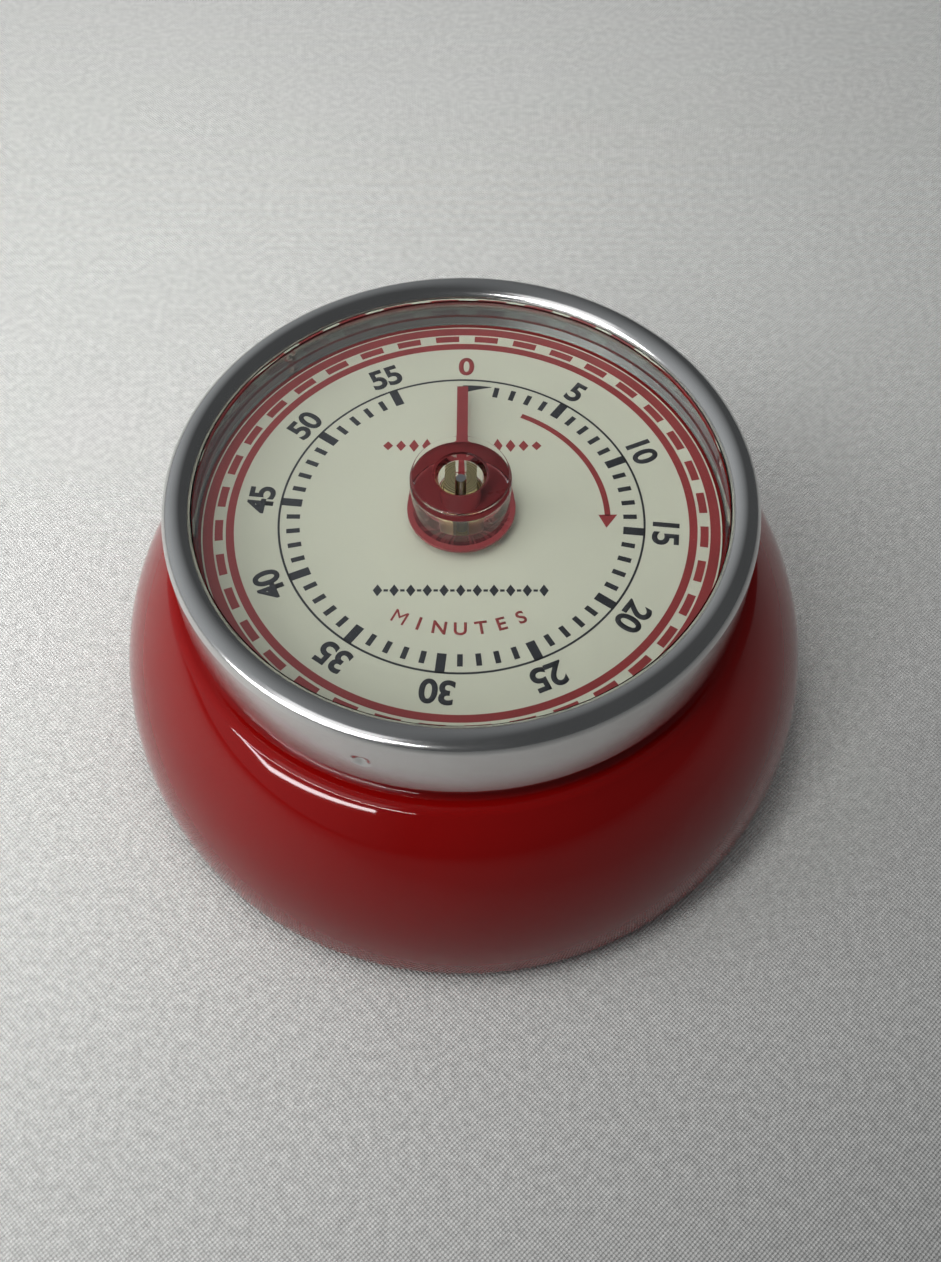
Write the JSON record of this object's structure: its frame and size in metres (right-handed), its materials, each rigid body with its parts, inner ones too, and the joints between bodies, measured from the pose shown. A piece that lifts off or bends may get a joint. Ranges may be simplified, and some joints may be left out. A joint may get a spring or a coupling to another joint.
{
  "type": "kitchen timer",
  "caption": "Round wind-up kitchen timer: domed enamelled steel case, turning metal ring with clear lens and red pointer over a printed minute dial, bell inside, magnet on the back.",
  "frame": {"origin": "centre of the magnet's face, on the surface that the timer lies on", "axes": "+Z out of the dial along the main shaft, +Y towards the dial's zero"},
  "size_m": [0.07, 0.07, 0.0342],
  "materials": {
    "enamel_red": "gloss",
    "chrome": "polished",
    "clear_lens": "clear moulded acrylic",
    "pointer_red": "satin",
    "dial_cream": "satin",
    "brass": "satin",
    "steel": "satin",
    "spring_steel": "blued",
    "bell_steel": "nickel plated",
    "magnet_cup_zinc": "zinc plated",
    "cover_black": "fine texture",
    "ferrite": "matt"
  },
  "bodies": {
    "case": {"case_shell": "enamel_red", "case_brackets": "steel", "dial_plate": "dial_cream", "dial_feet": "steel", "front_plate": "brass", "rear_plate": "brass", "pillars": "steel", "pillar_nuts": "steel", "case_screws": "steel", "spring_post": "steel", "bell_post": "steel", "bell": "bell_steel", "bell_screw": "steel", "rear_cover": "cover_black", "cover_screws": "steel", "magnet_cup": "magnet_cup_zinc", "magnet": "ferrite", "magnet_rivet": "steel"},
    "setting_ring": {"bezel_ring": "chrome", "lens": "clear_lens", "pointer": "pointer_red", "main_shaft": "brass", "wedge_pin": "steel", "release_cam": "steel", "great_wheel": "brass", "friction_washer": "steel", "ratchet_wheel": "steel", "click_post": "steel", "click_spring": "spring_steel", "mainspring": "spring_steel"},
    "ratchet_click": {"click": "steel"},
    "second_wheel_set": {"second_wheel": "brass", "second_arbor": "steel"},
    "third_wheel_set": {"third_wheel": "brass", "third_arbor": "steel"},
    "escape_wheel_set": {"escape_wheel": "brass", "escape_arbor": "steel"},
    "pallet": {"pallet_lever": "steel", "pallet_pins": "steel", "pallet_arbor": "steel", "balance_bar": "brass"},
    "hammer": {"hammer_arbor": "steel", "hammer_arm": "steel", "hammer_head": "steel", "hammer_tail": "steel", "hammer_spring": "spring_steel"}
  },
  "joints": [
    {"name": "ring_turn", "type": "hinge", "parent": "case", "child": "setting_ring", "pos_m": [0, 0, 0.027], "axis": [0, 0, 1], "range_deg": [-336, 0], "deforming": ["mainspring"]},
    {"name": "click_lift", "type": "hinge", "parent": "setting_ring", "child": "ratchet_click", "pos_m": [0.00752, 0.00274, 0.0186], "axis": [0, 0, 1], "range_deg": [-10, 0], "stiffness_Nm_per_rad": 0.0005, "springref_deg": 5.73, "deforming": ["click_spring"]},
    {"name": "second_wheel_turn", "type": "hinge", "parent": "case", "child": "second_wheel_set", "pos_m": [0.01042, -0.00874, 0.02], "axis": [0, 0, 1], "range_deg": [0, 2520]},
    {"name": "third_wheel_turn", "type": "hinge", "parent": "case", "child": "third_wheel_set", "pos_m": [0.01645, -0.00102, 0.02], "axis": [0, 0, 1], "range_deg": [-15120, 0]},
    {"name": "escape_wheel_turn", "type": "hinge", "parent": "case", "child": "escape_wheel_set", "pos_m": [0.01742, 0.00687, 0.02], "axis": [0, 0, 1], "range_deg": [0, 85050]},
    {"name": "pallet_swing", "type": "hinge", "parent": "case", "child": "pallet", "pos_m": [0.0136, 0.01176, 0.02], "axis": [0, 0, 1], "range_deg": [-3, 3]},
    {"name": "hammer_swing", "type": "hinge", "parent": "case", "child": "hammer", "pos_m": [-0.01301, -0.01301, 0.02], "axis": [0, 0, 1], "range_deg": [-6, 8], "stiffness_Nm_per_rad": 0.002, "deforming": ["hammer_spring"]}
  ],
  "couplings": [
    {"joint": "second_wheel_turn", "follows": "ring_turn", "ratio": -7.5},
    {"joint": "third_wheel_turn", "follows": "ring_turn", "ratio": 45},
    {"joint": "escape_wheel_turn", "follows": "ring_turn", "ratio": -253.12}
  ]
}
